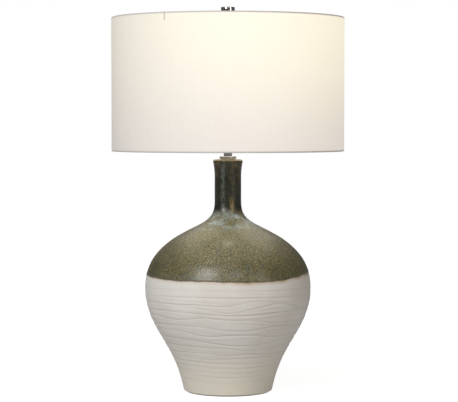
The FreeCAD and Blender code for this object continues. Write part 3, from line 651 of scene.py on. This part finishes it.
stoneware = makeStoneware()
cutOutlet(stoneware)
finishPiece(stoneware, stonewareFinish(), "lamp", ["ceramic_body"], 60)
glaze = makeGlaze()
finishPiece(glaze, glazeFinish(), "lamp", ["glaze_coat"], 60)
print("jar thrown, combed and glazed")


shade = {
    "cloth": 0.0005, "liner": 0.001, "ring": 0.0016, "hem": 0.012, "past": 40, "columns": 512, "rows": 22,
    "seamAngle": 168, "seamWidth": 2.2, "seamRise": 0.00045,
}


def shadeProfile():
    low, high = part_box("shade_fabric")
    outer = high.x
    circle = outer - shade["cloth"] - shade["ring"]
    reachIn = outer - shade["cloth"] - shade["liner"]
    hemIn = reachIn - shade["cloth"]
    profile = []
    past = 180 + shade["past"]
    for side, edge in ((1, high.z), (-1, low.z)):
        centre = (circle, edge - side * (shade["cloth"] + shade["ring"]))
        over = corner(centre, shade["ring"] + shade["cloth"], 0, side * past, 12)
        under = corner(centre, shade["ring"] + 0.00002, side * past, 0, 10)
        hem = centre[1] - side * shade["hem"]
        flap = [(hemIn, centre[1] - side * 0.0034), (hemIn, hem),
                (reachIn, hem), (reachIn, centre[1] - side * 0.0032)]
        profile.append((over + flap, under))
    (topOut, topIn), (lowOut, lowIn) = profile
    steps = shade["rows"]
    zTop, zLow = topOut[0][1], lowOut[0][1]
    climb = [(outer, zLow + (zTop - zLow) * i / steps) for i in range(1, steps)]
    fall = [(outer - shade["cloth"], zTop + (zLow - zTop) * i / steps) for i in range(1, steps)]
    # outside up, over the top ring and back, down behind, round the bottom ring and back to the start
    return climb + topOut + topIn + fall + lowIn[::-1] + lowOut[::-1] + [climb[0]]


def makeShadeCloth():
    piece = turnOnLathe("shadeCloth", shadeProfile(), shade["columns"])
    points = readPoints(piece)
    degrees = frontAngle(points)
    radius = np.hypot(points[:, 0], points[:, 1])
    off = np.abs(np.mod(degrees - shade["seamAngle"] + 180, 360) - 180)
    # one end of the cloth laps over the other at the back
    lap = shade["seamRise"] * np.clip((shade["seamWidth"] - off) / 0.5, 0, 1)
    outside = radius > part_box("shade_fabric")[1].x - 0.0002
    points[:, :2] *= (1 + np.where(outside, lap, 0) / radius)[:, None]
    writePoints(piece, points)
    return piece


def clothFinish():
    low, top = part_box("shade_fabric")[0].z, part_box("shade_fabric")[1].z
    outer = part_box("shade_fabric")[1].x
    look = {"thread": 0.00062, "cream": (0.56, 0.545, 0.525), "shadow": (0.48, 0.46, 0.435),
            "glowTop": (0.78, 0.71, 0.545), "glowLow": (0.52, 0.465, 0.43), "unlit": (0.06, 0.055, 0.05),
            "paintedRightGlow": 1.15, "firstArm": 239, "arms": 3, "armHalf": 0.0014, "armDrop": 0.0175}
    f = Finish("shadeCloth")
    where = f.place()
    across, away, height = [f.axis(k, where) for k in range(3)]
    # the bearing is counted from the lamp's right, so the nearer arm's 239 degrees is front left
    bearing = away.maths("ARCTAN2", across)
    warp = (bearing * (outer * math.pi / look["thread"])).maths("SINE")
    weft = (height * (math.pi / look["thread"])).maths("SINE")
    slub = f.noise(0.004, f.place((1, 1, 0.06)), detail=3)
    slubAcross = f.noise(0.004, f.place((0.06, 0.06, 1)), detail=3)
    weave = 0.5 + 0.25 * warp + 0.25 * weft
    tint = f.mix(0.35 * weave + 0.4 * slub.above(0.4, 0.7), look["cream"], look["shadow"])
    # a painted glow standing for the bulb's light through the cloth, most near the top, with painted shadows
    # where the rings and the spider's arms touch it
    clearOfRingShadow = height.above(low + 0.0012, low + 0.0048) * (1 - height.above(top - 0.0048, top - 0.0012))
    fromArm = (bearing - math.radians(look["firstArm"])).maths("PINGPONG", math.pi / look["arms"]) * outer
    armShadow = (1 - fromArm.above(look["armHalf"] * 0.6, look["armHalf"] * 1.5)) * height.above(
        top - look["armDrop"] - 0.001, top - look["armDrop"] + 0.001)
    mottled = 0.86 + 0.22 * slub + 0.06 * slubAcross
    lit = f.mix(height.above(low - 0.04, top - 0.02), look["glowLow"], look["glowTop"])
    # painted light: the glow is made stronger towards the lamp's right, though the bulb hangs in the middle
    bright = clearOfRingShadow * mottled * (0.70 + look["paintedRightGlow"] * across) * (1 - 0.65 * armShadow)
    glow = f.mix(bright, look["unlit"], lit)
    # the arms' painted shadow darkens the cloth's own colour too
    tint = f.mix(0.45 * armShadow, tint, (0.22, 0.19, 0.16))
    relief = 0.6 * weave + 0.5 * slub + 0.3 * slubAcross
    return f.set(Base_Color=tint, Roughness=0.88, Sheen_Weight=0.2, Sheen_Roughness=0.5,
                 Emission_Color=glow, Emission_Strength=1.0, Normal=f.bump(relief, 0.00012))


def linerFinish():
    f = Finish("shadeLiner")
    height = f.axis(2)
    cloud, fibre = f.noise(0.06), f.noise(0.002, detail=4)
    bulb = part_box("bulb_glass")[1].z - 0.03
    # a painted glow on the liner, strongest at the bulb's height, standing for the bulb's light
    nearBulbGlow = height.above(bulb - 0.13, bulb) * (1 - height.above(bulb, bulb + 0.13))
    glow = f.mix(nearBulbGlow, (0.62, 0.50, 0.36), (1.0, 0.86, 0.62))
    return f.set(Base_Color=f.mix(0.5 * cloud, (0.90, 0.88, 0.83), (0.84, 0.81, 0.75)),
                 Roughness=0.5 + 0.15 * cloud, Emission_Color=glow, Emission_Strength=0.22,
                 Normal=f.bump(fibre, 0.00005))


shadeCloth = makeShadeCloth()
finishPiece(shadeCloth, clothFinish(), "shade", ["shade_fabric"], 40)
# flat, the cloth is 291 mm deep, with 17 mm more turned in over each ring
print("shade covered")


finial = {"baseRadius": 0.009, "neckRadius": 0.0054, "knobRadius": 0.015, "edge": 0.0009, "bore": 0.003275,
          "base": 0.003, "neck": 0.023, "boreEnd": 0.025, "boreTip": 0.022}
neckCap = {"edge": 0.0009, "spigot": 0.0077, "step": 0.0005}


def makeFinial():
    low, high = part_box("finial")[0].z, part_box("finial")[1].z
    e = finial["edge"]
    knob = low + finial["base"] + finial["neck"]
    base, neck, wide = finial["baseRadius"], finial["neckRadius"], finial["knobRadius"]
    profile = [(0, high - finial["boreTip"]), (finial["bore"], high - finial["boreEnd"]), (finial["bore"], low)]
    profile.append((base - e, low))
    profile += corner((base - e, low + e), e, -90, 0, 4)
    profile += corner((base - e, low + finial["base"] - e), e, 0, 90, 4)
    profile += corner((neck + 2 * e, low + finial["base"] + 2 * e), 2 * e, -90, -180, 5)
    profile += corner((neck + 2 * e, knob - 2 * e), 2 * e, 180, 90, 5)
    profile += corner((wide - e, knob + e), e, -90, 0, 4) + corner((wide - e, high - e), e, 0, 90, 4)
    profile += [(wide - 3.2 * e, high), (wide - 3.5 * e, high - 0.0003), (wide - 4.2 * e, high - 0.0003),
                (wide - 4.5 * e, high), (0, high)]
    return turnOnLathe("finialKnob", profile, 96)


def makeNeckCap():
    low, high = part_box("neck_cap")[0].z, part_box("neck_cap")[1].z
    seat, wide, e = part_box("neck_gasket")[1].z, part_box("neck_cap")[1].x, neckCap["edge"]
    profile = [(jar["rodHole"], high), (jar["rodHole"], low)]
    profile += [(neckCap["spigot"], low), (neckCap["spigot"], seat)]
    profile += corner((wide - e, seat + e), e, -90, 0, 5) + corner((wide - e, high - e), e, 0, 90, 5)
    profile += [(wide - 0.004, high), (wide - 0.0044, high - neckCap["step"]), (0.0106, high - neckCap["step"]),
                (0.0102, high), (jar["rodHole"], high)]
    return turnOnLathe("neckCap", profile, 96)


def smoothCopy(node, name, degrees=30):
    # the CAD shape again, as one welded surface that can take smooth shading
    source = cadNodes[node]
    piece = bpy.data.objects.new(name, source.data.copy())
    bpy.context.scene.collection.objects.link(piece)
    piece.data.name = name
    editAll(piece)
    bpy.ops.mesh.remove_doubles(threshold=2e-6)
    bpy.ops.object.mode_set(mode="OBJECT")
    if piece.data.has_custom_normals:
        bpy.ops.mesh.customdata_custom_splitnormals_clear()
    return piece


nickel, zinc, brass = polishedNickel(), zincPlate(), rawBrass()
plasticWhite = mouldedPlastic("bushNylon", (0.74, 0.73, 0.69), 0.42)
plasticBlack = mouldedPlastic("knobPhenolic", (0.018, 0.017, 0.016), 0.22)
gasketRubber = mouldedPlastic("gasketRubber", (0.022, 0.022, 0.022), 0.7, 0.0009, 0.00008)
enamel = whiteEnamelWire()
finishPiece(makeFinial(), nickel, "finial", ["finial"])
finishPiece(makeNeckCap(), nickel, "lamp", ["neck_cap"])
carried = {
    "felt_foot": ("feltFoot", woolFelt(), "lamp", "felt"),
    "outlet_bush": ("outletBush", plasticWhite, "lamp", "bush_plastic"),
    "base_washer": ("baseWasher", zinc, "lamp", "zinc_steel"),
    "lock_washer": ("lockWasher", zinc, "lamp", "zinc_steel"),
    "base_nut": ("baseNut", zinc, "lamp", "zinc_steel"),
    "threaded_rod": ("threadedRod", zinc, "lamp", "zinc_steel"),
    "neck_gasket": ("neckGasket", gasketRubber, "lamp", "black_rubber"),
    "neck_stem": ("neckStem", nickel, "lamp", "nickel"),
    "harp_saddle": ("harpSaddle", nickel, "lamp", "nickel"),
    "saddle_nut": ("saddleNut", zinc, "lamp", "zinc_steel"),
    "harp": ("harpWire", nickel, "lamp", "nickel"),
    "harp_stud": ("harpStud", nickel, "lamp", "nickel"),
    "harp_sleeve_left": ("harpSleeveLeft", nickel, "sleeve_left", "nickel"),
    "harp_sleeve_right": ("harpSleeveRight", nickel, "sleeve_right", "nickel"),
    "rod_bushing": ("rodBushing", plasticWhite, "lamp", "bush_plastic"),
    "holder_cap": ("holderCap", nickel, "lamp", "nickel"),
    "cap_set_screw": ("capSetScrew", zinc, "lamp", "zinc_steel"),
    "holder_shell": ("holderShell", nickel, "lamp", "nickel"),
    "holder_liner": ("holderLiner", pressedCard(), "lamp", "insulating_card"),
    "holder_core": ("holderCore", whitePorcelain(), "lamp", "porcelain"),
    "holder_screw_shell": ("holderScrewShell", brass, "lamp", "brass"),
    "holder_contact": ("holderContact", brass, "lamp", "brass"),
    "terminal_screws": ("terminalScrews", brass, "lamp", "brass"),
    "switch_shaft": ("switchShaft", brass, "switch", "brass"),
    "switch_knob": ("switchKnob", plasticBlack, "switch", "knob_plastic"),
    "bulb_contact": ("bulbContact", dullSolder(), "bulb", "solder"),
    "bulb_insulator": ("bulbInsulator", blackGlass(), "bulb", "black_glass"),
    "bulb_cap": ("bulbCap", rolledAluminium(), "bulb", "bulb_aluminium"),
    "bulb_glass": ("bulbGlass", opalGlass(), "bulb", "opal_glass"),
    "shade_liner": ("shadeLiner", linerFinish(), "shade", "shade_backing"),
    "shade_top_ring": ("shadeTopRing", enamel, "shade", "white_wire"),
    "shade_bottom_ring": ("shadeBottomRing", enamel, "shade", "white_wire"),
    "spider_arms": ("spiderArms", enamel, "shade", "white_wire"),
    "spider_hub": ("spiderHub", enamel, "shade", "white_wire"),
    "finial_washer": ("finialWasher", nickel, "finial_washer", "nickel"),
}
for node, (name, material, body, slotName) in carried.items():
    finishPiece(smoothCopy(node, name), material, body, [node])
print("fittings finished")


studio = {
    "floorSize": 60.0, "floor": 0.46, "floorPatch": 0.5,
    # how bright the floor looks to the camera, close by, where a painted shadow darkens it round the lamp, and
    # further off, then as light on the lamp
    "shadowedNearLamp": 0.86, "farAway": 0.98, "bounced": 0.18, "world": 0.09,
    # place, what it points at, width and height, power, colour
    "lights": [
        ("keySoftbox", (-1.65, -2.55, 2.15), (0, 0, 0.3), (1.5, 1.5), 70, (1.0, 0.995, 0.98)),
        ("fillSoftbox", (2.3, -2.2, 1.3), (0, 0, 0.35), (1.0, 1.5), 14, (1.0, 0.91, 0.76)),
        ("frontSoftbox", (0.5, -3.2, 2.3), (0, 0, 0.3), (1.0, 0.7), 13, (1.0, 0.99, 0.97)),
        ("backSoftbox", (0.0, 2.6, 2.2), (0, 0, 0.5), (2.4, 1.2), 9, (1.0, 1.0, 1.0)),
    ],
    "bulbPower": 1.0, "bulbColour": (1.0, 0.93, 0.82), "bulbSize": 0.03, "bulbLift": 0.035,
    "cameraPlace": (0.0024, -3.924, 0.5898), "cameraTilt": 2.516, "lens": 140.9,
}


def grey(level):
    return (level, level, level)


def makeFloor():
    # white as the camera sees it, darker near the lamp as a painted shadow, and dimmer as a source of light, so
    # that the jar keeps its shadow side
    deselectAll()
    bpy.ops.mesh.primitive_plane_add(size=studio["floorSize"], location=(0, 0, 0))
    floor = bpy.context.object
    floor.name = "studioFloor"
    f = Finish("studioFloor")
    cloud = f.noise(1.5)
    away = f.add("ShaderNodeVectorMath", {"operation": "LENGTH"}, {0: f.place()}, "Value")
    seen = f.add("ShaderNodeLightPath", output="Is Camera Ray")
    # painted shadow: darker close to the lamp, white further off
    white = f.mix(away.above(0.1, 1.6), grey(studio["shadowedNearLamp"]), grey(studio["farAway"]))
    floor.data.materials.append(f.set(
        Base_Color=f.mix(0.2 * cloud, grey(studio["floor"]), grey(studio["floorPatch"])),
        Roughness=0.9, Specular_IOR_Level=0.0,
        Emission_Color=f.mix(seen, grey(studio["bounced"]), white), Emission_Strength=1.0))


def aimAt(thing, place, target):
    thing.location = place
    thing.rotation_euler = (Vector(target) - Vector(place)).to_track_quat("-Z", "Y").to_euler()


def makeLights():
    for name, place, target, size, power, colour in studio["lights"]:
        lamp = bpy.data.lights.new(name, "AREA")
        lamp.shape, lamp.size, lamp.size_y = "RECTANGLE", size[0], size[1]
        lamp.energy, lamp.color = power, colour
        thing = bpy.data.objects.new(name, lamp)
        bpy.context.scene.collection.objects.link(thing)
        aimAt(thing, place, target)
    bulb = bpy.data.lights.new("bulbLight", "POINT")
    bulb.energy, bulb.color = studio["bulbPower"], studio["bulbColour"]
    bulb.shadow_soft_size = studio["bulbSize"]
    thing = bpy.data.objects.new("bulbLight", bulb)
    thing.location = (0, 0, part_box("bulb_glass")[1].z + studio["bulbLift"])
    bpy.context.scene.collection.objects.link(thing)


def makeWorld():
    # pure white behind the lamp, and a softer grey for what the lamp reflects
    world = bpy.data.worlds.new("studioWorld")
    bpy.context.scene.world = world
    world.use_nodes = True
    tree = world.node_tree
    seen = tree.nodes.new("ShaderNodeLightPath")
    mix = tree.nodes.new("ShaderNodeMix")
    mix.data_type = "RGBA"
    mix.inputs[6].default_value = (*grey(studio["world"]), 1)
    mix.inputs[7].default_value = (*grey(1), 1)
    tree.links.new(seen.outputs["Is Camera Ray"], mix.inputs[0])
    tree.links.new(mix.outputs[2], tree.nodes["Background"].inputs["Color"])


def makeCamera():
    camera = bpy.data.cameras.new("camera")
    camera.lens, camera.sensor_width = studio["lens"], 36
    camera.clip_start, camera.clip_end = 0.05, 200
    thing = bpy.data.objects.new("camera", camera)
    thing.location = studio["cameraPlace"]
    thing.rotation_euler = (math.radians(90 - studio["cameraTilt"]), 0, 0)
    bpy.context.scene.collection.objects.link(thing)
    bpy.context.scene.camera = thing


makeFloor()
makeLights()
makeWorld()
makeCamera()
bpy.context.scene.view_settings.view_transform = "Standard"
print("studio ready")

deselectAll()
